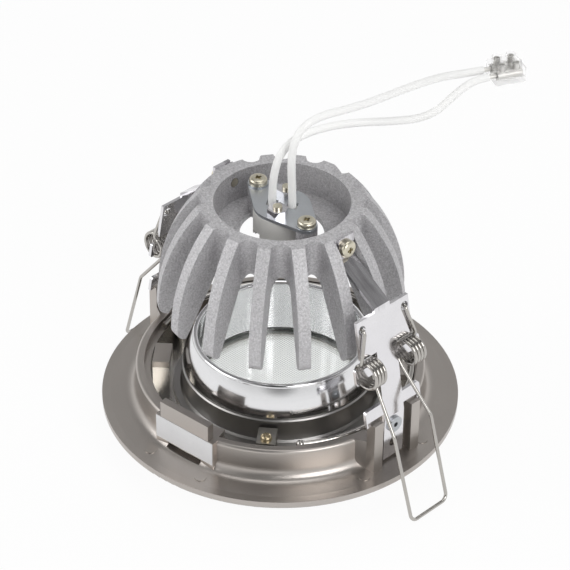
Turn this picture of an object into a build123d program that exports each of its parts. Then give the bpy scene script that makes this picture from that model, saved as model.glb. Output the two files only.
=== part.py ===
"""Recessed ceiling spotlight: cast bezel, polished lamp ring, finned heat sink and two spring clips.

Millimetres. +Z points up into the ceiling, +X runs through the two spring clips, and the origin is
the centre of the ring on which the ceiling board rests.
"""

import os
from math import acos, atan2, cos, degrees, hypot, pi, radians, sin, tan

from build123d import *

os.makedirs("parts", exist_ok=True)

# Bezel casting: trim flange below the ceiling, collar above it
flange_radius = 55.0
flange_thickness = 2.6
flange_edge_round = 1.0
seat_width = 2.6
seat_rise = 0.3
root_sink = 0.5
flange_overhang = 10.6
collar_height = 10.5
collar_wall = 2.6
collar_fillet = 3.5
rim_round = 1.0
ledge_width = 1.9
ledge_depth = 2.1
floor_top = 1.4
floor_thickness = 2.2
lamp_lip = 0.8
dish_slope = 7.6
dish_margin = 9.4

# Posts and tongue that carry each spring plate
post_gap = 12.0
post_width = 3.6
post_stand = 4.9
post_depth = 3.3
post_root = 2.4
post_top = 17.8
tongue_width = 6.0
tongue_depth = 3.0
tongue_top = 15.8
slot_floor = 2.0
pad_radius = 1.9
pad_offset = 12.4
pad_stand = 3.8
pad_spread = 3.0

# Cast boss, window and flat pad of the label with the tab above it, and two lugs inside the collar
label_angle = -84.0
boss_span = 28.0
boss_depth = 3.8
window_width = 13.0
window_bottom = 0.8
window_height = 1.4
label_pad_width = 22.4
label_pad_top = 10.8
label_pad_stand = 0.3
label_pad_depth = 2.4
rim_tab_width = 18.6
rim_tab_top = 16.2
lug_angle = -138.6
lug_length = 9.5
lug_depth = 5.2
lug_wall_gap = 0.9

# Polished lamp ring
ring_wall = 1.8
ring_top = 21.1
ring_flare = 2.9
ring_bulge = 0.45
ring_cone_bottom = 11.2
ring_cone_step = 0.4
ring_groove_depth = 0.5
ring_body_top = 10.5
ring_flange_width = 2.7
ring_flange_thickness = 1.2
ring_boss_gap = 0.4
ring_bead = 0.9

# Front glass on its gasket
glass_thickness = 2.5
gasket_thickness = 0.7
gasket_width = 1.8
glass_lip = 1.0
rebate_clearance = 0.3

# Clips that hold the lamp ring down
clip_count = 3
clip_first_angle = -51.0
clip_thickness = 1.0
clip_width = 5.6
clip_wall_gap = 1.0
clip_height = 6.2
clip_boss_radius = 3.0
clip_boss_margin = 0.5
clip_screw_shank = 1.1
clip_screw_head = 1.75
clip_screw_dome = 1.5

# Wire snap ring lying on the ledge inside the collar
snap_wire = 1.8
snap_start_angle = -36.0
snap_end_angle = 200.0
snap_clearance = 0.1
snap_ball = 1.3

# Heat sink casting
sink_top = 69.1
sink_bore_radius = 20.3
sink_wall = 2.0
sink_wall_height = 11.7
fin_count = 16
fin_top_radius = 25.0
fin_mid_radius = 34.0
fin_mid_height = 54.4
fin_low_radius = 37.6
fin_low_height = 36.6
fin_tip_drop = 2.9
fin_tip_depth = 4.6
fin_thickness = 3.5
groove_radius = 3.0
groove_run_out = 4.0
strap_boss_reach = 25.4
strap_boss_width = 7.6
strap_boss_height = 8.0
sink_floor_thickness = 1.7
sink_floor_opening = 12.6
pillar_radius = 3.2

# Spring plates: one bent strip of zinc-plated steel each
sheet = 1.0
tab_above_screw = 4.2
tab_below_screw = 3.2
strap_width = 6.2
strap_clearance = 0.4
plate_top = 51.9
plate_fin_gap = 3.8
plate_foot = 16.8
plate_stand = 3.5
plate_width = 21.4
notch_top = 39.6
neck_height = 3.2
head_width = 1.4
head_height = 5.2
waist_width = 8.2
wing_width = 22.8
wing_height = 3.8
wing_rise = 1.0
wing_hook = 1.4
stem_bottom = 1.4
stem_hole_height = 6.6
stem_hole_radius = 1.6
leg_hole_radius = 1.4
leg_hole_height = 48.9
leg_hole_offset = 8.8
rivet_height = 13.2
rivet_radius = 1.7
rivet_head_radius = 2.6
rivet_head = 0.8
rivet_bore = 0.8

# Torsion springs and their wire bails
wire = 1.1
coil_radius = 3.9
coil_stand_off = 1.2
coil_pitch = 1.62
coil_side_gap = 0.4
coil_turns = 3
coil_inner_offset = 5.7
leg_exit_angle = 122.0
leg_bend_radius = 1.6
hook_bend_radius = 1.3
kink_stand = 0.3
kink_height = 16.4
kink_offset = 7.8
bail_end_stand = 8.6
bail_end_height = -10.8
bail_end_offset = 7.6
kink_bend_radius = 4.0
bail_corner_radius = 2.2

# Screws: pan heads with a cross recess
screw_radius = 1.4
screw_hole_clearance = 0.15
head_radius = 2.75
head_height_pan = 1.7
recess_width = 0.8
recess_depth = 1.0
strap_screw_drop = 3.5

# Lampholder: steel plate, ceramic body, contacts
holder_angle = -11.25
holder_plate_thickness = 1.0
holder_plate_drop = 1.2
holder_screw_offset = 13.0
holder_plate_radius = 8.5
holder_tip_radius = 3.2
holder_screw_length = 6.0
washer_radius = 3.1
washer_thickness = 0.5
ceramic_radius = 8.6
ceramic_height = 8.6
ceramic_notch = 2.4
pin_spacing = 5.3
pin_radius = 0.85
contact_wall = 0.4
contact_length = 6.0
contact_entry = 1.2
contact_clearance = 0.05
pin_lead_in = 0.35
through_screw_offset = 5.4
nut_width = 5.5
nut_height = 2.2

# Leads and terminal block
lead_diameter = 2.4
lead_hole_clearance = 0.4
lead_run = 5.0
ferrule_radius = 0.75
ferrule_show = 1.6
ferrule_inside = 3.8
block_length = 9.8
block_wall = 0.9
block_height = 4.4
terminal_pitch = 4.2
terminal_tube_radius = 1.5
terminal_bore_radius = 1.05
wire_stop = 1.2
terminal_screw_spacing = 4.6
tower_radius = 1.6
tower_height = 1.9
terminal_screw_radius = 1.05
block_face_x = 19.6
block_face_y = 67.6
block_face_z = 93.2
block_angle = 65.0

# Blank label on the collar
label_width = 22.0
label_bottom = 2.6
label_height = 8.0
label_thickness = 0.15
label_gap = 0.03

# Levels and radii that follow from the sizes above
collar_radius = flange_radius - flange_overhang
dish_outer_radius = flange_radius - dish_margin
dish_inner_radius = dish_outer_radius - dish_slope
post_outer = collar_radius + post_stand
post_inner = post_outer - post_depth
pad_reach = collar_radius + pad_stand
plate_foot_reach = collar_radius + plate_stand
plate_top_reach = fin_low_radius + plate_fin_gap
kink_reach = flange_radius + kink_stand
bail_end_reach = flange_radius + bail_end_stand
front_face = -flange_thickness
recess_level = seat_rise
label_reach = collar_radius + label_pad_stand
floor_bottom = floor_top - floor_thickness
collar_inner = collar_radius - collar_wall
ledge_radius = collar_inner - ledge_width
ledge_top = collar_height - ledge_depth
clip_screw_radius = ledge_radius - clip_boss_margin - clip_boss_radius
ring_flange_radius = clip_screw_radius - clip_boss_radius - ring_boss_gap
ring_body_radius = ring_flange_radius - ring_flange_width
ring_cone_radius = ring_body_radius - ring_cone_step
ring_neck_radius = ring_cone_radius - ring_flare
ring_bore_radius = ring_neck_radius - ring_wall
lamp_opening_radius = ring_bore_radius - lamp_lip
glass_radius = lamp_opening_radius + gasket_width + rebate_clearance
rebate_radius = glass_radius + rebate_clearance
lip_top = floor_bottom + glass_lip
glass_bottom = lip_top + gasket_thickness
glass_top = glass_bottom + glass_thickness
sink_wall_bottom = sink_top - sink_wall_height
fin_tip_height = fin_low_height - fin_tip_drop
sink_floor_top = sink_wall_bottom + sink_floor_thickness
groove_floor = sink_bore_radius + sink_wall
holder_plate_top = sink_top - holder_plate_drop
holder_plate_bottom = holder_plate_top - holder_plate_thickness
ceramic_bottom = holder_plate_bottom - ceramic_height
screw_hole_radius = screw_radius + screw_hole_clearance
clip_hole_radius = clip_screw_shank + screw_hole_clearance
strap_screw_height = sink_top - strap_screw_drop
tab_top = strap_screw_height + tab_above_screw
tab_bottom = strap_screw_height - tab_below_screw
stem_back = plate_foot_reach - sheet
plate_lean = (plate_foot_reach - plate_top_reach) / (plate_top - plate_foot)
neck_level = notch_top - coil_radius - wire / 2 - 0.1
coil_reach = plate_top_reach + plate_lean * (plate_top - neck_level) + coil_stand_off
neck_end = coil_inner_offset + coil_pitch * (coil_turns + 0.27) + wire / 2 + coil_side_gap
fin_pitch = 360.0 / fin_count
clip_level = floor_top + clip_height
holder_axis_angle = holder_angle + 42.25
lead_offset = lead_diameter / 2 + ferrule_radius + 1.1
block_face = Vector(block_face_x, block_face_y, block_face_z)


def polar(radius, angle):
    """Point of the XY plane at a radius and an angle in degrees."""
    return radius * cos(radians(angle)), radius * sin(radians(angle))


def side_plane(side, reach):
    """Upright plane across the X axis, facing out, with its own Y axis pointing up."""
    return Plane(origin=(side * reach, 0, 0), x_dir=(0, side, 0), z_dir=(side, 0, 0))


def save(part, name):
    """Label a finished piece and write it as one STEP file."""
    part.label = name
    export_step(part, f"parts/{name}.step")


def half_turned(part):
    """Copy of a piece on the opposite side of the fitting."""
    return part.rotate(Axis.Z, 180)


# Bezel: revolved flange, floor and collar, with the cast posts, pads, lugs and windows
with BuildPart() as bezel:
    with BuildSketch(Plane.XZ):
        with BuildLine():
            edge = flange_edge_round
            Line((lamp_opening_radius, floor_bottom), (dish_inner_radius, floor_bottom))
            Line((dish_inner_radius, floor_bottom), (dish_outer_radius, front_face))
            Line((dish_outer_radius, front_face), (flange_radius - edge, front_face))
            RadiusArc((flange_radius - edge, front_face), (flange_radius, front_face + edge), -edge)
            Line((flange_radius, front_face + edge), (flange_radius, 0))
            Line((flange_radius, 0), (flange_radius - seat_width, 0))
            Line((flange_radius - seat_width, 0), (collar_radius + collar_fillet, recess_level))
            RadiusArc(
                (collar_radius + collar_fillet, recess_level),
                (collar_radius, recess_level + collar_fillet),
                collar_fillet,
            )
            Line((collar_radius, recess_level + collar_fillet), (collar_radius, collar_height - rim_round))
            RadiusArc(
                (collar_radius, collar_height - rim_round),
                (collar_radius - rim_round, collar_height),
                -rim_round,
            )
            Line((collar_radius - rim_round, collar_height), (collar_inner, collar_height))
            Line((collar_inner, collar_height), (collar_inner, ledge_top))
            Line((collar_inner, ledge_top), (ledge_radius, ledge_top))
            Line((ledge_radius, ledge_top), (ledge_radius, floor_top))
            Line((ledge_radius, floor_top), (rebate_radius, floor_top))
            Line((rebate_radius, floor_top), (rebate_radius, lip_top))
            Line((rebate_radius, lip_top), (lamp_opening_radius, lip_top))
            Line((lamp_opening_radius, lip_top), (lamp_opening_radius, floor_bottom))
        make_face()
    revolve(axis=Axis.Z)
    # The collar is open between the posts of each spring plate
    with BuildSketch(Plane.XY.offset(slot_floor)):
        with PolarLocations((post_outer + ledge_radius) / 2, 2):
            Rectangle(post_outer - ledge_radius + 2, post_gap)
    extrude(amount=collar_height, mode=Mode.SUBTRACT)
    root_level = recess_level - root_sink
    with BuildSketch(Plane.XY.offset(root_level)):
        for side in (1, -1):
            for end in (1, -1):
                with Locations((side * (post_outer + post_inner) / 2, end * (post_gap + post_width) / 2)):
                    Rectangle(post_depth, post_width)
    extrude(amount=post_top - root_level)
    # The foot of each post runs into the collar and spreads along it
    post_flank = post_gap / 2 + post_width
    mid_wall = collar_radius - collar_wall / 2
    root_reach = (mid_wall**2 - (post_flank + post_root) ** 2) ** 0.5
    with BuildSketch(Plane.XY.offset(root_level)):
        for side in (1, -1):
            for end in (1, -1):
                Polygon(
                    (side * collar_inner, end * post_gap / 2),
                    (side * (post_inner + 1), end * post_gap / 2),
                    (side * (post_inner + 1), end * post_flank),
                    (side * post_inner, end * post_flank),
                    (side * root_reach, end * (post_flank + post_root)),
                    (side * collar_inner, end * post_flank),
                    align=None,
                )
    extrude(amount=collar_height - root_level)
    # Tongue behind the stem of each spring plate
    with BuildSketch(Plane.XY.offset(root_level)):
        with PolarLocations(stem_back - tongue_depth / 2, 2):
            Rectangle(tongue_depth, tongue_width)
    extrude(amount=tongue_top - root_level)
    with BuildSketch(Plane.YZ.offset(0)):
        with Locations((0, rivet_height)):
            Circle(rivet_radius + screw_hole_clearance)
        with Locations((0, stem_hole_height)):
            Circle(stem_hole_radius)
    extrude(amount=stem_back + 1, both=True, mode=Mode.SUBTRACT)
    # Round pads on the flange at the feet of the posts and beside the window
    with BuildSketch(Plane.XY.offset(root_level)):
        for side in (1, -1):
            for end in (1, -1):
                with Locations((side * pad_reach, end * pad_offset)):
                    Circle(pad_radius)
        pad_turn = degrees(window_width / 2 / collar_radius) + pad_spread
        for turn in (-pad_turn, pad_turn):
            with Locations(polar(hypot(pad_reach, pad_offset), label_angle + turn)):
                Circle(pad_radius)
    extrude(amount=root_sink)
    # Flat pad for the label, and the narrower tab that carries it on above the rim
    label_plane = Location(polar(label_reach - label_pad_depth / 2, label_angle), label_angle)
    for pad_width, pad_top in ((label_pad_width, label_pad_top), (rim_tab_width, rim_tab_top)):
        with BuildSketch(Plane.XY.offset(root_level)):
            with Locations(label_plane):
                Rectangle(label_pad_depth, pad_width)
        extrude(amount=pad_top - root_level)
    # Boss behind the label, bosses for the lamp ring clips and the two lugs
    with BuildSketch(Plane.XY.offset(floor_top)):
        with BuildLine(Plane.XY):
            inner_arc = CenterArc((0, 0), collar_inner - boss_depth, label_angle - boss_span / 2, boss_span)
            outer_arc = CenterArc((0, 0), collar_inner + 0.5, label_angle - boss_span / 2, boss_span)
            Line(inner_arc @ 0, outer_arc @ 0)
            Line(inner_arc @ 1, outer_arc @ 1)
        make_face()
        for turn in (0, 180):
            lug_centre = ledge_radius - lug_wall_gap - lug_depth / 2
            with Locations(Location(polar(lug_centre, lug_angle + turn), lug_angle + turn)):
                Rectangle(lug_depth, lug_length)
    extrude(amount=collar_height - floor_top)
    with BuildSketch(Plane.XY.offset(floor_top)):
        for index in range(clip_count):
            with Locations(polar(clip_screw_radius, clip_first_angle + index * 360 / clip_count)):
                Circle(clip_boss_radius)
                Circle(clip_hole_radius, mode=Mode.SUBTRACT)
    extrude(amount=clip_height)
    # Window through the foot of the collar below the label
    with BuildSketch(Plane.XY.offset(window_bottom)):
        with Locations(Location(polar(collar_radius + 1, label_angle), label_angle)):
            Rectangle(2 * collar_wall, window_width)
    extrude(amount=window_height, mode=Mode.SUBTRACT)
save(bezel.part, "bezel")

# Lamp ring: turned and polished aluminium, a flange, a wide body and a narrow neck with a beaded rim
with BuildPart() as reflector_ring:
    flange_level = floor_top + ring_flange_thickness
    groove_radius_in = ring_cone_radius - ring_groove_depth
    bead_level = ring_top - ring_bead
    with BuildSketch(Plane.XZ):
        with BuildLine():
            # The cone bulges a little between its rim and its foot
            ThreePointArc(
                (ring_neck_radius, bead_level),
                (
                    (ring_neck_radius + ring_cone_radius) / 2 + ring_bulge,
                    (bead_level + ring_cone_bottom) / 2,
                ),
                (ring_cone_radius, ring_cone_bottom),
            )
            Polyline(
                (ring_cone_radius, ring_cone_bottom),
                (groove_radius_in, ring_cone_bottom - 0.6),
                (groove_radius_in, ring_body_top),
                (ring_body_radius - 0.4, ring_body_top),
                (ring_body_radius, ring_body_top - 0.4),
                (ring_body_radius, flange_level + 0.6),
                (ring_body_radius + 0.6, flange_level),
                (ring_flange_radius, flange_level),
                (ring_flange_radius, floor_top),
                (rebate_radius, floor_top),
                (rebate_radius, glass_top + rebate_clearance),
                (ring_bore_radius, glass_top + rebate_clearance),
                (ring_bore_radius, bead_level),
            )
            ThreePointArc(
                (ring_bore_radius, bead_level),
                ((ring_bore_radius + ring_neck_radius) / 2, ring_top),
                (ring_neck_radius, bead_level),
            )
        make_face()
    revolve(axis=Axis.Z)
save(reflector_ring.part, "reflector_ring")

# Front glass and the silicone gasket under its edge
with BuildPart() as front_glass:
    with Locations((0, 0, glass_bottom)):
        Cylinder(glass_radius, glass_thickness, align=(Align.CENTER, Align.CENTER, Align.MIN))
    chamfer(front_glass.edges(), 0.2)
save(front_glass.part, "front_glass")

with BuildPart() as glass_gasket:
    with BuildSketch(Plane.XY.offset(lip_top)):
        Circle(glass_radius)
        Circle(glass_radius - gasket_width, mode=Mode.SUBTRACT)
    extrude(amount=gasket_thickness)
save(glass_gasket.part, "glass_gasket")


def clip_frame(index):
    """Frame on a clip boss: X away from the lamp axis, Z up."""
    angle = clip_first_angle + index * 360 / clip_count
    return Plane.XY.rotated((0, 0, angle))


# Bronze strip clips: a plate on the boss with a leg down to the flange of the lamp ring
with BuildPart() as ring_clips:
    leg_reach = ring_body_radius + 1.0
    clip_reach = ledge_radius - clip_wall_gap - leg_reach
    for index in range(clip_count):
        with BuildSketch(clip_frame(index).offset(clip_level)):
            with Locations((leg_reach + clip_reach / 2, 0)):
                Rectangle(clip_reach, clip_width)
            with Locations((clip_screw_radius, 0)):
                Circle(clip_hole_radius, mode=Mode.SUBTRACT)
        extrude(amount=clip_thickness)
        with BuildSketch(clip_frame(index).offset(flange_level)):
            with Locations((leg_reach + clip_thickness / 2, 0)):
                Rectangle(clip_thickness, clip_width)
        extrude(amount=clip_level - flange_level)
save(ring_clips.part, "ring_clips")

with BuildPart() as ring_clip_screws:
    for index in range(clip_count):
        seat = clip_frame(index).offset(clip_level + clip_thickness)
        with BuildSketch(seat):
            with Locations((clip_screw_radius, 0)):
                Circle(clip_screw_head)
        extrude(amount=clip_screw_dome)
        with BuildSketch(seat):
            with Locations((clip_screw_radius, 0)):
                Circle(clip_screw_shank)
        extrude(amount=-clip_height)
    domes = ring_clip_screws.faces().sort_by(Axis.Z)[-clip_count:].edges()
    fillet(domes, clip_screw_dome * 0.7)
save(ring_clip_screws.part, "ring_clip_screws")

# Snap ring: open wire ring on the ledge inside the collar, with a ball at its free end
with BuildPart() as snap_ring:
    snap_radius = collar_inner - snap_ball - snap_clearance
    snap_level = ledge_top + snap_ball + snap_clearance
    snap_dir = Vector(*polar(1, snap_start_angle))
    with BuildSketch(Plane(origin=(0, 0, 0), x_dir=snap_dir, z_dir=snap_dir.cross(Vector(0, 0, 1)))):
        with Locations((snap_radius, snap_level)):
            Circle(snap_wire / 2)
    revolve(axis=Axis.Z, revolution_arc=snap_end_angle - snap_start_angle)
    with Locations((*polar(snap_radius, snap_start_angle), snap_level)):
        Sphere(snap_ball)
save(snap_ring.part, "snap_ring")

# Heat sink: a domed blank with sixteen wedge grooves, so that the fins hang below its wall
with BuildPart() as heat_sink:
    with BuildSketch(Plane.XZ):
        with BuildLine():
            tip_inner = fin_low_radius - fin_tip_depth
            ThreePointArc(
                (fin_top_radius, sink_top),
                (fin_mid_radius, fin_mid_height),
                (fin_low_radius, fin_low_height),
            )
            tip_edge = fin_low_radius - fin_tip_drop
            RadiusArc((fin_low_radius, fin_low_height), (tip_edge, fin_tip_height), fin_tip_drop)
            Line((tip_edge, fin_tip_height), (tip_inner, fin_low_height))
            Line((tip_inner, fin_low_height), (groove_floor, sink_wall_bottom))
            Line((groove_floor, sink_wall_bottom), (sink_bore_radius, sink_wall_bottom))
            Line((sink_bore_radius, sink_wall_bottom), (sink_bore_radius, sink_top))
            Line((sink_bore_radius, sink_top), (fin_top_radius, sink_top))
        make_face()
    revolve(axis=Axis.Z)
    groove_centre = groove_floor + groove_radius
    groove_end = fin_low_radius + groove_run_out
    mouth = 2 * groove_end * tan(radians(fin_pitch / 2)) - fin_thickness
    with BuildSketch(Plane.XY.offset(fin_tip_height - 1)):
        with PolarLocations(0, fin_count):
            with Locations((groove_centre, 0)):
                Circle(groove_radius)
            Polygon(
                (groove_centre, -groove_radius),
                (groove_end, -mouth / 2),
                (groove_end, mouth / 2),
                (groove_centre, groove_radius),
                align=None,
            )
    extrude(amount=sink_top, mode=Mode.SUBTRACT)
    # Flat bosses in two of the grooves take the straps of the spring plates
    with BuildSketch(Plane.XY.offset(sink_top)):
        with PolarLocations((strap_boss_reach + sink_bore_radius + 0.4) / 2, 2):
            Rectangle(strap_boss_reach - sink_bore_radius - 0.4, strap_boss_width)
    extrude(amount=-strap_boss_height)
    with BuildSketch(Plane.XY.offset(sink_top)):
        with PolarLocations(strap_boss_reach + strap_boss_height / 2, 2):
            Rectangle(strap_boss_height, strap_width + 2 * strap_clearance)
    extrude(amount=-strap_boss_height, mode=Mode.SUBTRACT)
    # A floor with a round opening closes the bore, and two pillars on it carry the lampholder plate
    with BuildSketch(Plane.XY.offset(sink_wall_bottom)):
        Circle(sink_bore_radius + sink_wall / 2)
        Circle(sink_floor_opening, mode=Mode.SUBTRACT)
    extrude(amount=sink_floor_thickness)
    holder_frame = Plane.XY.rotated((0, 0, holder_angle))
    with BuildSketch(holder_frame.offset(sink_wall_bottom)):
        with PolarLocations(holder_screw_offset, 2):
            Circle(pillar_radius)
    extrude(amount=holder_plate_bottom - sink_wall_bottom)
    with BuildSketch(holder_frame.offset(sink_wall_bottom)):
        with PolarLocations(holder_screw_offset, 2):
            Circle(screw_hole_radius)
    extrude(amount=holder_plate_bottom - sink_wall_bottom, mode=Mode.SUBTRACT)
    for side in (1, -1):
        with BuildSketch(side_plane(side, strap_boss_reach)):
            with Locations((0, strap_screw_height)):
                Circle(screw_hole_radius)
        extrude(amount=sink_bore_radius - strap_boss_reach - 0.6, mode=Mode.SUBTRACT)
save(heat_sink.part, "heat_sink")

# Spring plate: the bent strip seen from the side, trimmed to its outline seen from the front
with BuildPart() as spring_plate_right:
    strap_reach = strap_boss_reach + sheet
    bend_reach = plate_top_reach - plate_lean * (wire + 0.2)
    with BuildSketch(Plane.XZ):
        with BuildLine() as strip:
            Polyline(
                (strap_reach, tab_top),
                (strap_reach, tab_bottom),
                (bend_reach, plate_top + wire + 0.2),
                (plate_foot_reach, plate_foot),
                (plate_foot_reach, stem_bottom),
            )
            offset(amount=-sheet, side=Side.RIGHT, closed=True)
        make_face()
    extrude(amount=neck_end + head_width + 1, both=True)
    neck_top = neck_level + neck_height / 2
    neck_bottom = neck_level - neck_height / 2
    wing_bottom = post_top + wing_rise
    wing_top = wing_bottom + wing_height
    hook_width = wing_width / 2 - post_gap / 2 - post_width - 0.2
    with BuildSketch(Plane.YZ) as plate_outline:
        with Locations((0, (tab_top + stem_bottom) / 2)):
            Rectangle(strap_width, tab_top - stem_bottom)
        with Locations((0, (plate_top + notch_top) / 2)):
            Rectangle(plate_width, plate_top - notch_top)
        with Locations((0, (notch_top + wing_top) / 2)):
            Rectangle(waist_width, notch_top - wing_top + 2)
        with Locations((0, neck_level)):
            Rectangle(2 * neck_end, neck_height)
        for end in (1, -1):
            with Locations((end * (neck_end + head_width / 2), neck_level)):
                RectangleRounded(head_width, head_height, head_width * 0.45)
        with Locations((0, (wing_bottom + wing_top) / 2)):
            RectangleRounded(wing_width, wing_height, wing_height * 0.3)
        # The ends of the wing hook down beside the posts
        for end in (1, -1):
            with Locations((end * (wing_width - hook_width) / 2, wing_bottom)):
                Rectangle(hook_width, 2 * wing_hook)
        with Locations((0, (wing_top + stem_bottom) / 2)):
            Rectangle(waist_width, wing_top - stem_bottom)
        with Locations((0, strap_screw_height)):
            Circle(screw_hole_radius, mode=Mode.SUBTRACT)
        with Locations((0, rivet_height)):
            Circle(rivet_radius + screw_hole_clearance, mode=Mode.SUBTRACT)
        with Locations((0, stem_hole_height)):
            Circle(stem_hole_radius, mode=Mode.SUBTRACT)
        for end in (1, -1):
            with Locations((end * leg_hole_offset, leg_hole_height)):
                Circle(leg_hole_radius, mode=Mode.SUBTRACT)
    extrude(amount=bail_end_reach, mode=Mode.INTERSECT)
save(spring_plate_right.part, "spring_plate_right")

spring_plate_left = half_turned(spring_plate_right.part)
save(spring_plate_left, "spring_plate_left")

# Hollow rivet through the stem of each spring plate and the tongue behind it
with BuildPart() as plate_rivets:
    for side in (1, -1):
        face = side_plane(side, stem_back - tongue_depth - rivet_head)
        grip = tongue_depth + sheet
        for start, length, radius in (
            (0, rivet_head, rivet_head_radius),
            (rivet_head, grip, rivet_radius),
            (rivet_head + grip, rivet_head, rivet_head_radius),
        ):
            with BuildSketch(face.offset(start)):
                with Locations((0, rivet_height)):
                    Circle(radius)
                    Circle(rivet_bore, mode=Mode.SUBTRACT)
            extrude(amount=length)
save(plate_rivets.part, "plate_rivets")


def arm_tangent():
    """Angle on the coil where the arm of the bail leaves it, and the arm's direction, in the XZ plane."""
    across = kink_reach - coil_reach
    down = kink_height - neck_level
    bearing = degrees(atan2(down, across)) - degrees(acos(coil_radius / hypot(across, down)))
    return bearing, bearing + 90


def coil_station(angle, offset):
    """Point and direction on the helix, wound clockwise in XZ as it moves out along Y."""
    turn = radians(angle)
    step = coil_pitch / (2 * pi * coil_radius)
    point = Vector(coil_reach + coil_radius * cos(turn), offset, neck_level + coil_radius * sin(turn))
    heading = Vector(sin(turn), step, -cos(turn)).normalized()
    return point, heading


def biarc(start, start_dir, end, end_dir):
    """Two tangent arcs from one point and direction to another, or a straight line."""
    chord = end - start
    if start_dir.dot(end_dir) > 0.999999:
        Line(start, end)
        return
    total = start_dir + end_dir
    spread = 2 * (1 - start_dir.dot(end_dir))
    reach = (-chord.dot(total) + (chord.dot(total) ** 2 + spread * chord.dot(chord)) ** 0.5) / spread
    first = start + start_dir * reach
    last = end - end_dir * reach
    middle = (first + last) / 2
    TangentArc(start, middle, tangent=start_dir)
    TangentArc(middle, end, tangent=last - first)


def least_gap(points, skip):
    """Least distance between points of one path that are more than skip apart along it."""
    best = 1e9
    for first in range(len(points)):
        for second in range(first + skip, len(points)):
            best = min(best, (points[first] - points[second]).length)
    return best


arm_angle, arm_bearing = arm_tangent()
arm_dir = Vector(cos(radians(arm_bearing)), 0, sin(radians(arm_bearing)))
arm_foot, _ = coil_station(arm_angle, coil_inner_offset)
arm_start = arm_foot + arm_dir * wire

# Coil of the torsion spring: from the arm round the neck of the plate, up the leg and into its hole
with BuildPart() as spring_coil_right_rear:
    sweep_angle = arm_angle % 360 - leg_exit_angle + 360 * coil_turns
    quarters = round(sweep_angle / 90)
    stations = [(arm_start, -arm_dir), (arm_foot, -arm_dir)]
    for quarter in range(1, quarters + 1):
        turned = sweep_angle * quarter / quarters
        offset_y = coil_inner_offset + coil_pitch * turned / 360
        stations.append(coil_station(arm_angle - turned, offset_y))
    plate_dir = Vector(-plate_lean, 0, 1).normalized()
    leg_end, leg_dir = stations[-1]
    leg_turn = radians(leg_dir.get_angle(plate_dir))
    bend_chord = 2 * leg_bend_radius * sin(leg_turn / 2)
    leg_foot = leg_end + (leg_dir + plate_dir).normalized() * bend_chord
    hook_level = leg_hole_height - hook_bend_radius
    leg_top_reach = plate_top_reach + plate_lean * (plate_top - hook_level) + wire / 2 + 0.25
    leg_top = Vector(leg_top_reach, leg_hole_offset, hook_level)
    climb = (leg_top - leg_foot).normalized()
    stations.append((leg_foot, climb))
    stations.append((leg_top, climb))
    hook_end = leg_top + Vector(-hook_bend_radius, 0, hook_bend_radius)
    stations.append((hook_end, Vector(-1, 0, 0)))
    stations.append((hook_end + Vector(-wire, 0, 0), Vector(-1, 0, 0)))
    with BuildLine() as coil_path:
        for here, there in zip(stations, stations[1:]):
            biarc(*here, *there)
    with BuildSketch(Plane(origin=arm_start, z_dir=-arm_dir)):
        Circle(wire / 2)
    coil_wire = coil_path.wire()
    sweep(path=coil_wire)
    samples = [coil_wire @ (step / 600) for step in range(601)]
    apart = round(600 * 2.5 * coil_radius / coil_wire.length)
    print("spring coil: least gap to itself", round(least_gap(samples, apart) - wire, 3), "mm")
save(spring_coil_right_rear.part, "spring_coil_right_rear")

spring_coil_right_front = mirror(spring_coil_right_rear.part, about=Plane.XZ)
save(spring_coil_right_front, "spring_coil_right_front")
spring_coil_left_front = half_turned(spring_coil_right_rear.part)
save(spring_coil_left_front, "spring_coil_left_front")
spring_coil_left_rear = half_turned(spring_coil_right_front)
save(spring_coil_left_rear, "spring_coil_left_rear")

# Bail: the moving loop of the spring, two kinked arms and the bar that presses on the ceiling board
with BuildPart() as bail_right:
    arm_lead = arm_start + arm_dir * 2 * wire
    half_loop = [
        arm_start,
        arm_lead,
        Vector(kink_reach, kink_offset, kink_height),
        Vector(bail_end_reach, bail_end_offset, bail_end_height),
    ]
    other_half = [Vector(point.X, -point.Y, point.Z) for point in reversed(half_loop)]
    lead_bend = 3 * wire
    bends = [lead_bend, kink_bend_radius, bail_corner_radius]
    with BuildLine() as bail_path:
        FilletPolyline(*half_loop, *other_half, radius=bends + bends[::-1])
    with BuildSketch(Plane(origin=arm_start, z_dir=arm_dir)):
        Circle(wire / 2)
    sweep(path=bail_path.wire())
save(bail_right.part, "bail_right")

bail_left = half_turned(bail_right.part)
save(bail_left, "bail_left")


def cross_recess(plane, x, y):
    """Cut a cross recess into a screw head at a point of a plane."""
    with BuildSketch(plane) as recess:
        with Locations((x, y)):
            Rectangle(2.6 * recess_width, recess_width)
            Rectangle(recess_width, 2.6 * recess_width)
    extrude(recess.sketch, amount=-recess_depth, mode=Mode.SUBTRACT)


# Screws that hold the straps to the heat sink
with BuildPart() as strap_screws:
    for side in (1, -1):
        seat = side_plane(side, strap_reach)
        with BuildSketch(seat):
            with Locations((0, strap_screw_height)):
                Circle(head_radius)
        extrude(amount=head_height_pan)
        with BuildSketch(seat):
            with Locations((0, strap_screw_height)):
                Circle(screw_radius)
        extrude(amount=-(strap_reach - sink_bore_radius))
        rims = strap_screws.faces().sort_by(Axis.X)[-1 if side > 0 else 0].edges()
        fillet(rims, head_height_pan * 0.55)
        cross_recess(seat.offset(head_height_pan), 0, strap_screw_height)
save(strap_screws.part, "strap_screws")

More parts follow.
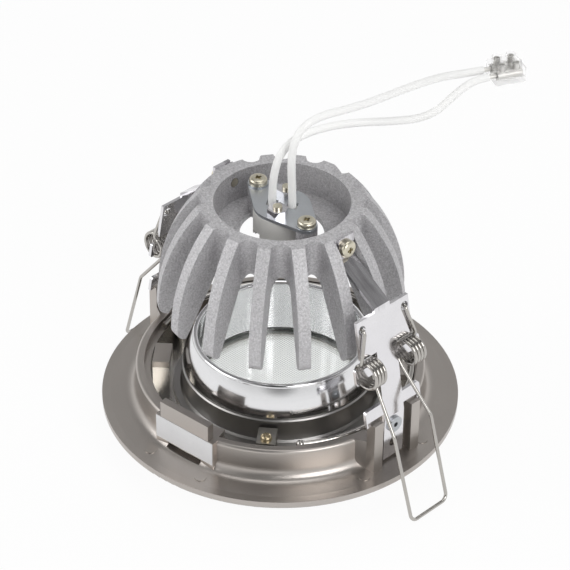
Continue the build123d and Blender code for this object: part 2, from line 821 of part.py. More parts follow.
# Lampholder plate: rhombic zinc-plated steel across the bore of the heat sink
axis_frame = Plane.XY.rotated((0, 0, holder_axis_angle))
with BuildPart() as holder_plate:
    with BuildSketch(holder_frame.offset(holder_plate_bottom)):
        with BuildSketch(mode=Mode.PRIVATE) as rhomb:
            Circle(holder_plate_radius)
            with PolarLocations(holder_screw_offset, 2):
                Circle(holder_tip_radius)
            make_hull()
        add(rhomb.sketch)
        with PolarLocations(holder_screw_offset, 2):
            Circle(screw_hole_radius, mode=Mode.SUBTRACT)
    extrude(amount=holder_plate_thickness)
    with BuildSketch(axis_frame.offset(holder_plate_bottom)):
        with PolarLocations(lead_offset, 2):
            slot_width = lead_diameter + 2 * lead_hole_clearance
            Rectangle(slot_width, slot_width)
        with PolarLocations(through_screw_offset, 2, start_angle=90):
            Circle(screw_hole_radius)
    extrude(amount=holder_plate_thickness, mode=Mode.SUBTRACT)
save(holder_plate.part, "holder_plate")

# Ceramic lampholder: round body with contact wells, a keying notch and two counterbored fixing holes
with BuildPart() as ceramic_body:
    head_drop = head_height_pan + 0.2
    with BuildSketch(axis_frame.offset(ceramic_bottom)):
        Circle(ceramic_radius)
        with PolarLocations(ceramic_radius, 2, start_angle=38):
            Rectangle(2 * ceramic_notch, ceramic_notch * 2, mode=Mode.SUBTRACT)
    extrude(amount=ceramic_notch)
    with BuildSketch(axis_frame.offset(ceramic_bottom + ceramic_notch)):
        Circle(ceramic_radius)
    extrude(amount=ceramic_height - ceramic_notch)
    well_radius = pin_radius + contact_wall + contact_clearance
    with BuildSketch(axis_frame.offset(ceramic_bottom)):
        with PolarLocations(pin_spacing / 2, 2):
            Circle(pin_radius + pin_lead_in)
        with PolarLocations(through_screw_offset, 2, start_angle=90):
            Circle(screw_hole_radius)
    extrude(amount=contact_entry, mode=Mode.SUBTRACT)
    with BuildSketch(axis_frame.offset(ceramic_bottom + contact_entry)):
        with PolarLocations(pin_spacing / 2, 2):
            Circle(well_radius)
    extrude(amount=contact_length + contact_clearance, mode=Mode.SUBTRACT)
    with BuildSketch(axis_frame.offset(ceramic_bottom)):
        with PolarLocations(through_screw_offset, 2, start_angle=90):
            Circle(screw_hole_radius)
    extrude(amount=ceramic_height, mode=Mode.SUBTRACT)
    with BuildSketch(axis_frame.offset(ceramic_bottom)):
        with PolarLocations(through_screw_offset, 2, start_angle=90):
            Circle(head_radius + screw_hole_clearance)
    extrude(amount=head_drop, mode=Mode.SUBTRACT)
save(ceramic_body.part, "ceramic_body")

with BuildPart() as lamp_contacts:
    with BuildSketch(axis_frame.offset(ceramic_bottom + contact_entry)):
        with PolarLocations(pin_spacing / 2, 2):
            Circle(pin_radius + contact_wall)
            Circle(pin_radius, mode=Mode.SUBTRACT)
    extrude(amount=contact_length)
save(lamp_contacts.part, "lamp_contacts")

# Through screws from below the ceramic body and their nuts on the plate
with BuildPart() as ceramic_screws:
    with BuildSketch(axis_frame.offset(ceramic_bottom + head_drop)):
        with PolarLocations(through_screw_offset, 2, start_angle=90):
            Circle(head_radius)
    extrude(amount=-head_height_pan)
    with BuildSketch(axis_frame.offset(ceramic_bottom + head_drop)):
        with PolarLocations(through_screw_offset, 2, start_angle=90):
            Circle(screw_radius)
    extrude(amount=ceramic_height - head_drop + holder_plate_thickness + nut_height + 0.8)
save(ceramic_screws.part, "ceramic_screws")

with BuildPart() as ceramic_nuts:
    with BuildSketch(axis_frame.offset(holder_plate_top)):
        with PolarLocations(through_screw_offset, 2, start_angle=90):
            RegularPolygon(nut_width / 2, 6, major_radius=False)
            Circle(screw_radius + contact_clearance, mode=Mode.SUBTRACT)
    extrude(amount=nut_height)
save(ceramic_nuts.part, "ceramic_nuts")

# Cross-head screws and washers that hold the plate to the pillars of the heat sink
with BuildPart() as holder_washers:
    with BuildSketch(holder_frame.offset(holder_plate_top)):
        with PolarLocations(holder_screw_offset, 2):
            Circle(washer_radius)
            Circle(screw_hole_radius, mode=Mode.SUBTRACT)
    extrude(amount=washer_thickness)
save(holder_washers.part, "holder_washers")

with BuildPart() as holder_screws:
    seat = holder_frame.offset(holder_plate_top + washer_thickness)
    with BuildSketch(seat):
        with PolarLocations(holder_screw_offset, 2):
            Circle(head_radius)
    extrude(amount=head_height_pan)
    rims = holder_screws.faces().sort_by(Axis.Z)[-2:].edges()
    fillet(rims, head_height_pan * 0.55)
    with BuildSketch(seat):
        with PolarLocations(holder_screw_offset, 2):
            Circle(screw_radius)
    extrude(amount=-holder_screw_length)
    for side in (1, -1):
        cross_recess(seat.offset(head_height_pan), side * holder_screw_offset, 0)
save(holder_screws.part, "holder_screws")

# Terminal block: clear housing with two brass tubes, each with two clamping screws
block_along = Vector(*polar(1, block_angle))
block_across = Vector(*polar(1, block_angle - 90))
block_frame = Plane(origin=block_face, x_dir=block_along, z_dir=(0, 0, 1))
block_width = 2 * (terminal_pitch / 2 + terminal_tube_radius + block_wall)
tube_clearance = contact_clearance
screw_places = [
    (block_length / 2 + along * terminal_screw_spacing / 2, side * terminal_pitch / 2)
    for along in (1, -1)
    for side in (1, -1)
]
with BuildPart() as terminal_block:
    with BuildSketch(block_frame.offset(-block_height / 2)):
        with Locations((block_length / 2, 0)):
            RectangleRounded(block_length, block_width, block_wall)
    extrude(amount=block_height)
    with BuildSketch(block_frame.offset(block_height / 2)):
        with Locations(*screw_places):
            Circle(tower_radius)
    extrude(amount=tower_height)
    with BuildSketch(block_frame.offset(block_height / 2 + tower_height)):
        with Locations(*screw_places):
            Circle(terminal_screw_radius + tube_clearance)
    extrude(amount=-(block_height / 2 + tower_height), mode=Mode.SUBTRACT)
    with BuildSketch(Plane(origin=block_face, x_dir=-block_across, z_dir=block_along)):
        with Locations((terminal_pitch / 2, 0), (-terminal_pitch / 2, 0)):
            Circle(terminal_tube_radius + tube_clearance)
    extrude(amount=block_length, mode=Mode.SUBTRACT)
save(terminal_block.part, "terminal_block")

with BuildPart() as terminal_tubes:
    tube_frame = Plane(origin=block_face, x_dir=-block_across, z_dir=block_along)
    with BuildSketch(tube_frame.offset(block_wall)):
        with Locations((terminal_pitch / 2, 0), (-terminal_pitch / 2, 0)):
            Circle(terminal_tube_radius)
    extrude(amount=block_length - 2 * block_wall)
    # A blind bore from each end leaves a wire stop in the middle
    bore_depth = (block_length - 2 * block_wall - wire_stop) / 2
    for start in (block_wall, block_length - block_wall - bore_depth):
        with BuildSketch(tube_frame.offset(start)):
            with Locations((terminal_pitch / 2, 0), (-terminal_pitch / 2, 0)):
                Circle(terminal_bore_radius)
        extrude(amount=bore_depth, mode=Mode.SUBTRACT)
    with BuildSketch(block_frame):
        with Locations(*screw_places):
            Circle(terminal_screw_radius + tube_clearance)
    extrude(amount=block_height, mode=Mode.SUBTRACT)
save(terminal_tubes.part, "terminal_tubes")

with BuildPart() as terminal_screws:
    screw_top = block_height / 2 + tower_height - 0.6
    # The pair on the lead side is screwed down to the ferrules, the supply side is left open
    for places, tip in (
        (screw_places[:2], terminal_bore_radius + 0.1),
        (screw_places[2:], ferrule_radius + 0.1),
    ):
        with BuildSketch(block_frame.offset(tip)):
            with Locations(*places):
                Circle(terminal_screw_radius)
        extrude(amount=screw_top - tip)
    with BuildSketch(block_frame.offset(screw_top)):
        with Locations(*screw_places):
            Rectangle(2 * terminal_screw_radius + 1, recess_width / 2)
    extrude(amount=-recess_depth / 2, mode=Mode.SUBTRACT)
save(terminal_screws.part, "terminal_screws")

# Leads: stiff sleeved wire, straight up out of the lampholder and over to the terminal block
lead_start_a = Vector(*polar(-lead_offset, holder_axis_angle), holder_plate_bottom)
lead_start_b = Vector(*polar(lead_offset, holder_axis_angle), holder_plate_bottom)
lead_end_a = block_face + block_across * terminal_pitch / 2 - block_along * ferrule_show
lead_end_b = block_face - block_across * terminal_pitch / 2 - block_along * ferrule_show
lead_a_route = [
    (-1.9, -1.6, 78.4),
    (-1.1, -0.7, 83.8),
    (-0.2, 2.0, 87.6),
    (1.0, 6.4, 89.4),
    (2.6, 12.6, 89.8),
    (4.8, 20.0, 89.2),
    (7.8, 27.4, 88.0),
    (11.4, 34.6, 86.8),
    (14.8, 41.4, 86.2),
    (16.6, 47.4, 86.9),
    (17.4, 53.2, 89.9),
]
lead_b_route = [
    (3.0, 0.7, 79.2),
    (3.4, 0.2, 85.2),
    (3.8, 0.6, 90.2),
    (4.2, 2.4, 94.0),
    (4.9, 6.2, 96.2),
    (6.2, 11.2, 96.9),
    (8.2, 17.8, 96.7),
    (9.8, 25.6, 96.4),
    (10.8, 34.0, 96.2),
    (11.6, 42.4, 95.8),
    (12.2, 50.2, 95.0),
    (12.8, 56.4, 93.9),
]


def lead_tube(name, points):
    """Round lead along straight runs joined by the largest arcs that they allow."""
    runs = [after - before for before, after in zip(points, points[1:])]
    radii = []
    for first, second in zip(runs, runs[1:]):
        half_turn = radians(first.get_angle(second)) / 2
        radii.append(0.45 * min(first.length, second.length) / tan(half_turn))
    with BuildPart() as tube:
        with BuildLine() as path:
            FilletPolyline(*points, radius=radii)
        with BuildSketch(Plane(origin=points[0], z_dir=runs[0])):
            Circle(lead_diameter / 2)
        sweep(path=path.wire())
    length = path.wire().length
    full = length * pi * lead_diameter**2 / 4
    print(name, "length", round(length, 1), "volume ratio", round(tube.part.volume / full, 4))
    print(name, "radii", [round(radius, 1) for radius in radii])
    return tube.part


def lead_points(start, route, end):
    """Corners of a lead that leaves the lampholder upright and meets the block square."""
    rise = Vector(0, 0, lead_run)
    inner = [Vector(*point) for point in route]
    return [start, start + rise, *inner, end - block_along * lead_run, end]


lead_a_points = lead_points(lead_start_a, lead_a_route, lead_end_a)
lead_b_points = lead_points(lead_start_b, lead_b_route, lead_end_b)
lead_a = lead_tube("lead a", lead_a_points)
save(lead_a, "lead_a")
lead_b = lead_tube("lead b", lead_b_points)
save(lead_b, "lead_b")

# Crimped ferrules on the lead ends, in the bores of the terminal tubes
with BuildPart() as lead_ferrules:
    for end in (lead_end_a, lead_end_b):
        with BuildSketch(Plane(origin=end, z_dir=block_along)):
            Circle(ferrule_radius)
        extrude(amount=ferrule_show + ferrule_inside)
save(lead_ferrules.part, "lead_ferrules")

# Blank foil label on its flat pad
with BuildPart() as blank_label:
    with BuildSketch(Plane.XY.offset(label_bottom)):
        label_middle = label_reach + label_gap + label_thickness / 2
        with Locations(Location(polar(label_middle, label_angle), label_angle)):
            Rectangle(label_thickness, label_width)
    extrude(amount=label_height)
save(blank_label.part, "blank_label")
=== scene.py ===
"""Looks for the recessed ceiling spotlight: camera, light, leads, springs and every finish."""

from math import cos, pi, radians, sin

import bpy
from mathutils import Matrix, Vector


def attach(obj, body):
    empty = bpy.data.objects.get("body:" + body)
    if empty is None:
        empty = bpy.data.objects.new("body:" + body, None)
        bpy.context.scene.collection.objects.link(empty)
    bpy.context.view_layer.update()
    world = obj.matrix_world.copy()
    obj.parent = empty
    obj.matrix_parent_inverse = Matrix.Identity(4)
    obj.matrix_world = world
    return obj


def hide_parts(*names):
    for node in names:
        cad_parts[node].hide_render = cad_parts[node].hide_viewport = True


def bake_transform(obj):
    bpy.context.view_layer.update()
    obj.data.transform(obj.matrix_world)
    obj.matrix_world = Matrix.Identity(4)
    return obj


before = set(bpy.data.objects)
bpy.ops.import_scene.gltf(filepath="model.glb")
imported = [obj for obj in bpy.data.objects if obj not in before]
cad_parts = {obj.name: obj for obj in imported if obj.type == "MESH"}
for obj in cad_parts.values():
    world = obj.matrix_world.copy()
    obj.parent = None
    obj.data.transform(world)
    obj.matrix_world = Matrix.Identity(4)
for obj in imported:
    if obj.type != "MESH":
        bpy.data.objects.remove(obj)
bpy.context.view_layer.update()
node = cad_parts

# Camera: a long lens above the front spring clip, looking down at the back of the fitting
# and rolled by less than a degree
camera_place = Vector((0.42994, -0.42620, 0.48050))
camera_roll = radians(0.696)
look = Vector((-0.5726, 0.5697, -0.5897)).normalized()
level_right = look.cross(Vector((0, 0, 1))).normalized()
level_up = level_right.cross(look)
right = level_right * cos(camera_roll) + level_up * sin(camera_roll)
up = level_up * cos(camera_roll) - level_right * sin(camera_roll)
camera_data = bpy.data.cameras.new("photo_camera")
camera_data.sensor_width = 36.0
camera_data.lens = 157.6
camera = bpy.data.objects.new("photo_camera", camera_data)
bpy.context.collection.objects.link(camera)
camera.matrix_world = Matrix.Translation(camera_place) @ Matrix((right, up, -look)).transposed().to_4x4()
bpy.context.scene.camera = camera
bpy.context.scene.view_settings.view_transform = "Standard"

# Floor: white paper a quarter of a millimetre under the bails, plain white to the camera and in
# reflections apart from the object's shadow
floor_level = -0.0116
glow_share = 0.94
bpy.ops.mesh.primitive_plane_add(size=6.0, location=(0, 0, floor_level))
floor = bpy.context.object
floor.name = "floor"
paper = bpy.data.materials.new("floor_paper")
paper.use_nodes = True
tree = paper.node_tree
tree.nodes["Principled BSDF"].inputs["Base Color"].default_value = (0.86, 0.86, 0.86, 1)
tree.nodes["Principled BSDF"].inputs["Roughness"].default_value = 0.9
glow = tree.nodes.new("ShaderNodeEmission")
glow.inputs["Color"].default_value = (1, 1, 1, 1)
path = tree.nodes.new("ShaderNodeLightPath")
seen = tree.nodes.new("ShaderNodeMath")
seen.operation = "MAXIMUM"
seen_all = tree.nodes.new("ShaderNodeMath")
seen_all.operation = "MAXIMUM"
share = tree.nodes.new("ShaderNodeMath")
share.operation = "MULTIPLY"
share.inputs[1].default_value = glow_share
mix = tree.nodes.new("ShaderNodeMixShader")
tree.links.new(path.outputs["Is Camera Ray"], seen.inputs[0])
tree.links.new(path.outputs["Is Glossy Ray"], seen.inputs[1])
tree.links.new(seen.outputs[0], seen_all.inputs[0])
tree.links.new(path.outputs["Is Transmission Ray"], seen_all.inputs[1])
tree.links.new(seen_all.outputs[0], share.inputs[0])
tree.links.new(share.outputs[0], mix.inputs[0])
tree.links.new(tree.nodes["Principled BSDF"].outputs[0], mix.inputs[1])
tree.links.new(glow.outputs[0], mix.inputs[2])
tree.links.new(mix.outputs[0], tree.nodes["Material Output"].inputs["Surface"])
floor.data.materials.append(paper)

# World: a studio that is bright at the horizon, darker overhead and darkest behind the camera,
# which the metal reflects; the camera itself sees plain white
horizon, zenith = (0.05, 0.95), (1.0, 0.18)
between = ((0.60, 0.44), (0.80, 0.22))
dim_edge, dim_core, dim_level = 0.84, 0.985, 0.10
world = bpy.data.worlds.new("studio")
world.use_nodes = True
bpy.context.scene.world = world
tree = world.node_tree
place = tree.nodes.new("ShaderNodeTexCoord")
split = tree.nodes.new("ShaderNodeSeparateXYZ")
rise = tree.nodes.new("ShaderNodeValToRGB")
for knot, (position, level) in zip(rise.color_ramp.elements, (horizon, zenith)):
    knot.position = position
    knot.color = (level, level, level, 1)
for position, level in between:
    rise.color_ramp.elements.new(position).color = (level, level, level, 1)
toward_camera = tree.nodes.new("ShaderNodeVectorMath")
toward_camera.operation = "DOT_PRODUCT"
toward_camera.inputs[1].default_value = tuple(-look)
dim = tree.nodes.new("ShaderNodeMapRange")
dim.interpolation_type = "SMOOTHSTEP"
dim.inputs["From Min"].default_value = dim_edge
dim.inputs["From Max"].default_value = dim_core
dim.inputs["To Min"].default_value = 1.0
dim.inputs["To Max"].default_value = dim_level
white = tree.nodes.new("ShaderNodeBackground")
white.inputs["Color"].default_value = (1, 1, 1, 1)
white.inputs["Strength"].default_value = 1.0
path = tree.nodes.new("ShaderNodeLightPath")
mix = tree.nodes.new("ShaderNodeMixShader")
tree.links.new(place.outputs["Generated"], split.inputs[0])
tree.links.new(place.outputs["Generated"], toward_camera.inputs[0])
tree.links.new(split.outputs["Z"], rise.inputs["Fac"])
tree.links.new(toward_camera.outputs["Value"], dim.inputs["Value"])
tree.links.new(rise.outputs["Color"], tree.nodes["Background"].inputs["Color"])
tree.links.new(dim.outputs["Result"], tree.nodes["Background"].inputs["Strength"])
tree.links.new(path.outputs["Is Camera Ray"], mix.inputs[0])
tree.links.new(tree.nodes["Background"].outputs[0], mix.inputs[1])
tree.links.new(white.outputs[0], mix.inputs[2])
tree.links.new(mix.outputs[0], tree.nodes["World Output"].inputs["Surface"])

# Lamps: a key box on the right of the camera, a weaker one on its left and a soft one overhead,
# all turned to a point on the axis between the lamp ring and the fins
lamp_aim = Vector((0, 0, 0.03))
for name, spot, size, power in (
    ("key_box", (0.75, -0.20, 0.55), 0.5, 3.6),
    ("left_box", (-0.45, -0.60, 0.45), 0.6, 2.4),
    ("top_box", (-0.05, 0.20, 0.90), 0.7, 2.4),
):
    lamp_data = bpy.data.lights.new(name, "AREA")
    lamp_data.size = size
    lamp_data.energy = power
    lamp = bpy.data.objects.new(name, lamp_data)
    lamp.location = spot
    lamp.rotation_euler = (lamp_aim - Vector(spot)).to_track_quat("-Z", "Y").to_euler()
    bpy.context.collection.objects.link(lamp)

# Leads: two wires in white sleeving, stiff enough to stand, that run from the lampholder over to the
# terminal block, where ferrules are crimped on their ends
sleeve_radius = 0.0012

# The grain that the sleeving and the later finishes share: two scales of noise, put out as a colour
# between two, a roughness between two and a height
grain = bpy.data.node_groups.new("surface_grain", "ShaderNodeTree")
for name, kind in (
    ("Colour A", "NodeSocketColor"),
    ("Colour B", "NodeSocketColor"),
    ("Coarse Scale", "NodeSocketFloat"),
    ("Fine Scale", "NodeSocketFloat"),
    ("Roughness A", "NodeSocketFloat"),
    ("Roughness B", "NodeSocketFloat"),
    ("Contrast", "NodeSocketFloat"),
):
    grain.interface.new_socket(name, in_out="INPUT", socket_type=kind)
for name, kind in (
    ("Colour", "NodeSocketColor"),
    ("Roughness", "NodeSocketFloat"),
    ("Height", "NodeSocketFloat"),
):
    grain.interface.new_socket(name, in_out="OUTPUT", socket_type=kind)
entry = grain.nodes.new("NodeGroupInput")
leave = grain.nodes.new("NodeGroupOutput")
place = grain.nodes.new("ShaderNodeTexCoord")
coarse = grain.nodes.new("ShaderNodeTexNoise")
coarse.inputs["Detail"].default_value = 3.0
fine = grain.nodes.new("ShaderNodeTexNoise")
fine.inputs["Detail"].default_value = 4.0
fine.inputs["Roughness"].default_value = 0.6
half = grain.nodes.new("ShaderNodeMath")
half.operation = "MULTIPLY"
half.inputs[1].default_value = 0.5
both = grain.nodes.new("ShaderNodeMath")
both.operation = "MULTIPLY_ADD"
both.inputs[1].default_value = 0.5
centred = grain.nodes.new("ShaderNodeMath")
centred.operation = "SUBTRACT"
centred.inputs[1].default_value = 0.5
sharper = grain.nodes.new("ShaderNodeMath")
sharper.operation = "MULTIPLY_ADD"
sharper.inputs[2].default_value = 0.5
sharper.use_clamp = True
blend = grain.nodes.new("ShaderNodeMix")
blend.data_type = "RGBA"
spread = grain.nodes.new("ShaderNodeMapRange")
grain.links.new(place.outputs["Object"], coarse.inputs["Vector"])
grain.links.new(place.outputs["Object"], fine.inputs["Vector"])
grain.links.new(entry.outputs["Coarse Scale"], coarse.inputs["Scale"])
grain.links.new(entry.outputs["Fine Scale"], fine.inputs["Scale"])
grain.links.new(fine.outputs["Fac"], half.inputs[0])
grain.links.new(coarse.outputs["Fac"], both.inputs[0])
grain.links.new(half.outputs[0], both.inputs[2])
grain.links.new(both.outputs[0], centred.inputs[0])
grain.links.new(centred.outputs[0], sharper.inputs[0])
grain.links.new(entry.outputs["Contrast"], sharper.inputs[1])
grain.links.new(sharper.outputs[0], blend.inputs[0])
grain.links.new(entry.outputs["Colour A"], blend.inputs[6])
grain.links.new(entry.outputs["Colour B"], blend.inputs[7])
grain.links.new(both.outputs[0], spread.inputs["Value"])
grain.links.new(entry.outputs["Roughness A"], spread.inputs["To Min"])
grain.links.new(entry.outputs["Roughness B"], spread.inputs["To Max"])
grain.links.new(blend.outputs[2], leave.inputs["Colour"])
grain.links.new(spread.outputs["Result"], leave.inputs["Roughness"])
grain.links.new(fine.outputs["Fac"], leave.inputs["Height"])


def grained_finish(name, dark, light, coarse_scale, fine_scale, smooth, rough, metallic=0.0, contrast=1.0):
    """Finish whose colour and roughness wander between two values; returns it with its grain node."""
    finish = bpy.data.materials.new(name)
    finish.use_nodes = True
    tree = finish.node_tree
    skin = tree.nodes.new("ShaderNodeGroup")
    skin.node_tree = grain
    for socket, value in (
        ("Colour A", (*dark, 1)),
        ("Colour B", (*light, 1)),
        ("Coarse Scale", coarse_scale),
        ("Fine Scale", fine_scale),
        ("Roughness A", smooth),
        ("Roughness B", rough),
        ("Contrast", contrast),
    ):
        skin.inputs[socket].default_value = value
    shader = tree.nodes["Principled BSDF"]
    shader.inputs["Metallic"].default_value = metallic
    tree.links.new(skin.outputs["Colour"], shader.inputs["Base Color"])
    tree.links.new(skin.outputs["Roughness"], shader.inputs["Roughness"])
    return finish, skin


def raise_surface(finish, height, strength, depth):
    """Bump a finish by a height that changes over its surface."""
    tree = finish.node_tree
    bump = tree.nodes.new("ShaderNodeBump")
    bump.inputs["Strength"].default_value = strength
    bump.inputs["Distance"].default_value = depth
    tree.links.new(height, bump.inputs["Height"])
    tree.links.new(bump.outputs["Normal"], tree.nodes["Principled BSDF"].inputs["Normal"])


sleeve, sleeve_grain = grained_finish(
    "white_sleeve", dark=(0.84, 0.84, 0.83), light=(0.94, 0.94, 0.93),
    coarse_scale=120.0, fine_scale=1800.0, smooth=0.40, rough=0.55,
)
raise_surface(sleeve, sleeve_grain.outputs["Height"], strength=0.08, depth=0.0003)
lead_a_points = (
    (-0.00261, -0.00157, 0.0669), (-0.00261, -0.00157, 0.0719), (-0.0019, -0.0016, 0.0784),
    (-0.0011, -0.0007, 0.0838), (-0.0002, 0.0020, 0.0876), (0.0010, 0.0064, 0.0894),
    (0.0026, 0.0126, 0.0898), (0.0048, 0.0200, 0.0892), (0.0078, 0.0274, 0.0880),
    (0.0114, 0.0346, 0.0868), (0.0148, 0.0414, 0.0862), (0.0166, 0.0474, 0.0869),
    (0.0174, 0.0532, 0.0899), (0.01871, 0.06073, 0.0932), (0.02083, 0.06526, 0.0932),
)
lead_b_points = (
    (0.00261, 0.00157, 0.0669), (0.00261, 0.00157, 0.0719), (0.0030, 0.0007, 0.0792),
    (0.0034, 0.0002, 0.0852), (0.0038, 0.0006, 0.0902), (0.0042, 0.0024, 0.0940),
    (0.0049, 0.0062, 0.0962), (0.0062, 0.0112, 0.0969), (0.0082, 0.0178, 0.0967),
    (0.0098, 0.0256, 0.0964), (0.0108, 0.0340, 0.0962), (0.0116, 0.0424, 0.0958),
    (0.0122, 0.0502, 0.0950), (0.0128, 0.0564, 0.0939), (0.01491, 0.06251, 0.0932),
    (0.01702, 0.06704, 0.0932),
)
for name, points in (("lead_a", lead_a_points), ("lead_b", lead_b_points)):
    curve = bpy.data.curves.new(name + "_sleeve", "CURVE")
    curve.dimensions = "3D"
    curve.bevel_depth = sleeve_radius
    curve.bevel_resolution = 6
    curve.resolution_u = 8
    curve.use_fill_caps = True
    spline = curve.splines.new("NURBS")
    spline.points.add(len(points) - 1)
    for control, point in zip(spline.points, points):
        control.co = (*point, 1.0)
    spline.order_u = 3
    spline.use_endpoint_u = True
    lead = bpy.data.objects.new(name + "_sleeve", curve)
    bpy.context.collection.objects.link(lead)
    lead.data.materials.append(sleeve)
    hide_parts(name)
    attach(lead, "fitting")

# Terminal block: a clear moulded plastic housing on the ends of the leads, through which its
# nickel-plated brass tubes, their clamping screws and the crimped ferrules show
clear, clear_grain = grained_finish(
    "clear_plastic", dark=(0.97, 0.965, 0.97), light=(1.0, 0.995, 1.0),
    coarse_scale=250.0, fine_scale=1200.0, smooth=0.05, rough=0.15,
)
raise_surface(clear, clear_grain.outputs["Height"], strength=0.10, depth=0.0004)
shader = clear.node_tree.nodes["Principled BSDF"]
shader.inputs["Transmission Weight"].default_value = 0.85
shader.inputs["IOR"].default_value = 1.2
shader.inputs["Alpha"].default_value = 0.32
node["terminal_block"].material_slots[0].material = clear
bright, _ = grained_finish(
    "terminal_metal", dark=(0.55, 0.54, 0.52), light=(0.78, 0.77, 0.74),
    coarse_scale=300.0, fine_scale=2500.0, smooth=0.22, rough=0.38, metallic=1.0,
)
for name in ("terminal_tubes", "terminal_screws", "lead_ferrules"):
    node[name].material_slots[0].material = bright

# Bezel: one zinc casting, trim flange and collar together, under a warm satin nickel lacquer with
# a very fine orange peel; the dish inside the collar is polished
dish_radius, dish_floor, dish_top = 0.0400, 0.0013, 0.0083

# Distance from the axis and height above the flange, for the masks of the bezel and the lamp ring
axis_place = bpy.data.node_groups.new("axis_place", "ShaderNodeTree")
for name in ("Radius", "Height"):
    axis_place.interface.new_socket(name, in_out="OUTPUT", socket_type="NodeSocketFloat")
leave = axis_place.nodes.new("NodeGroupOutput")
place = axis_place.nodes.new("ShaderNodeTexCoord")
split = axis_place.nodes.new("ShaderNodeSeparateXYZ")
flat = axis_place.nodes.new("ShaderNodeVectorMath")
flat.operation = "MULTIPLY"
flat.inputs[1].default_value = (1, 1, 0)
radius = axis_place.nodes.new("ShaderNodeVectorMath")
radius.operation = "LENGTH"
axis_place.links.new(place.outputs["Object"], split.inputs[0])
axis_place.links.new(place.outputs["Object"], flat.inputs[0])
axis_place.links.new(flat.outputs["Vector"], radius.inputs[0])
axis_place.links.new(radius.outputs["Value"], leave.inputs["Radius"])
axis_place.links.new(split.outputs["Z"], leave.inputs["Height"])


def past_limit(tree, value, operation, limit):
    """Mask that is 1 where a value is past a limit."""
    step = tree.nodes.new("ShaderNodeMath")
    step.operation = operation
    step.inputs[1].default_value = limit
    tree.links.new(value, step.inputs[0])
    return step.outputs[0]


def overlap(tree, first, second):
    """Mask of the places that lie in two masks."""
    both_masks = tree.nodes.new("ShaderNodeMath")
    both_masks.operation = "MULTIPLY"
    tree.links.new(first, both_masks.inputs[0])
    tree.links.new(second, both_masks.inputs[1])
    return both_masks.outputs[0]


def refinish(finish, skin, mask, colour, roughness):
    """Give the masked part of a finish a colour and a roughness of its own."""
    tree = finish.node_tree
    shader = tree.nodes["Principled BSDF"]
    tint = tree.nodes.new("ShaderNodeMix")
    tint.data_type = "RGBA"
    tint.inputs[7].default_value = (*colour, 1)
    sheen = tree.nodes.new("ShaderNodeMix")
    sheen.inputs[3].default_value = roughness
    tree.links.new(mask, tint.inputs[0])
    tree.links.new(mask, sheen.inputs[0])
    tree.links.new(skin.outputs["Colour"], tint.inputs[6])
    tree.links.new(skin.outputs["Roughness"], sheen.inputs[2])
    tree.links.new(tint.outputs[2], shader.inputs["Base Color"])
    tree.links.new(sheen.outputs[0], shader.inputs["Roughness"])


nickel, nickel_grain = grained_finish(
    "satin_nickel", dark=(0.42, 0.390, 0.365), light=(0.49, 0.455, 0.425),
    coarse_scale=60.0, fine_scale=2200.0, smooth=0.28, rough=0.36, metallic=0.95,
)
raise_surface(nickel, nickel_grain.outputs["Height"], strength=0.10, depth=0.0002)
tree = nickel.node_tree
where = tree.nodes.new("ShaderNodeGroup")
where.node_tree = axis_place
inside = past_limit(tree, where.outputs["Radius"], "LESS_THAN", dish_radius)
above = past_limit(tree, where.outputs["Height"], "GREATER_THAN", dish_floor)
below = past_limit(tree, where.outputs["Height"], "LESS_THAN", dish_top)
dish = overlap(tree, inside, overlap(tree, above, below))
refinish(nickel, nickel_grain, dish, colour=(0.62, 0.60, 0.57), roughness=0.18)
node["bezel"].material_slots[0].material = nickel

# Label: a bare patch of silver-white foil, stuck on the flat pad on the outside of the collar,
# below the tab
foil, _ = grained_finish(
    "foil_label", dark=(0.70, 0.70, 0.71), light=(0.80, 0.80, 0.81),
    coarse_scale=90.0, fine_scale=900.0, smooth=0.35, rough=0.50, metallic=0.10,
)
node["blank_label"].material_slots[0].material = foil

# Gasket: a flat ring of pale silicone in the rebate of the bezel; the edge of the glass lies on it,
# and the lamp ring keeps both in
silicone, _ = grained_finish(
    "silicone", dark=(0.78, 0.80, 0.78), light=(0.86, 0.88, 0.86),
    coarse_scale=80.0, fine_scale=900.0, smooth=0.60, rough=0.75,
)
node["glass_gasket"].material_slots[0].material = silicone

# Front glass: a clear disc that lies on the gasket, under the lamp ring, pale green in its thickness,
# with a fine printed grid of dots
dot_core, dot_edge = 0.30, 0.40
glass = bpy.data.materials.new("clear_glass")
glass.use_nodes = True
tree = glass.node_tree
place = tree.nodes.new("ShaderNodeTexCoord")
dots = tree.nodes.new("ShaderNodeTexVoronoi")
dots.inputs["Scale"].default_value = 1300.0
dots.inputs["Randomness"].default_value = 0.0
print_colour = tree.nodes.new("ShaderNodeValToRGB")
for knot, position, colour in zip(
    print_colour.color_ramp.elements,
    (dot_core, dot_edge),
    ((0.40, 0.46, 0.43, 1), (0.95, 0.985, 0.965, 1)),
):
    knot.position = position
    knot.color = colour
frost = tree.nodes.new("ShaderNodeMapRange")
frost.inputs["From Min"].default_value = dot_core
frost.inputs["From Max"].default_value = dot_edge
frost.inputs["To Min"].default_value = 0.45
frost.inputs["To Max"].default_value = 0.03
shader = tree.nodes["Principled BSDF"]
shader.inputs["Transmission Weight"].default_value = 1.0
shader.inputs["IOR"].default_value = 1.5
shader.inputs["Alpha"].default_value = 0.6
tree.links.new(place.outputs["Object"], dots.inputs["Vector"])
tree.links.new(dots.outputs["Distance"], print_colour.inputs["Fac"])
tree.links.new(dots.outputs["Distance"], frost.inputs["Value"])
tree.links.new(print_colour.outputs["Color"], shader.inputs["Base Color"])
tree.links.new(frost.outputs["Result"], shader.inputs["Roughness"])
node["front_glass"].material_slots[0].material = glass

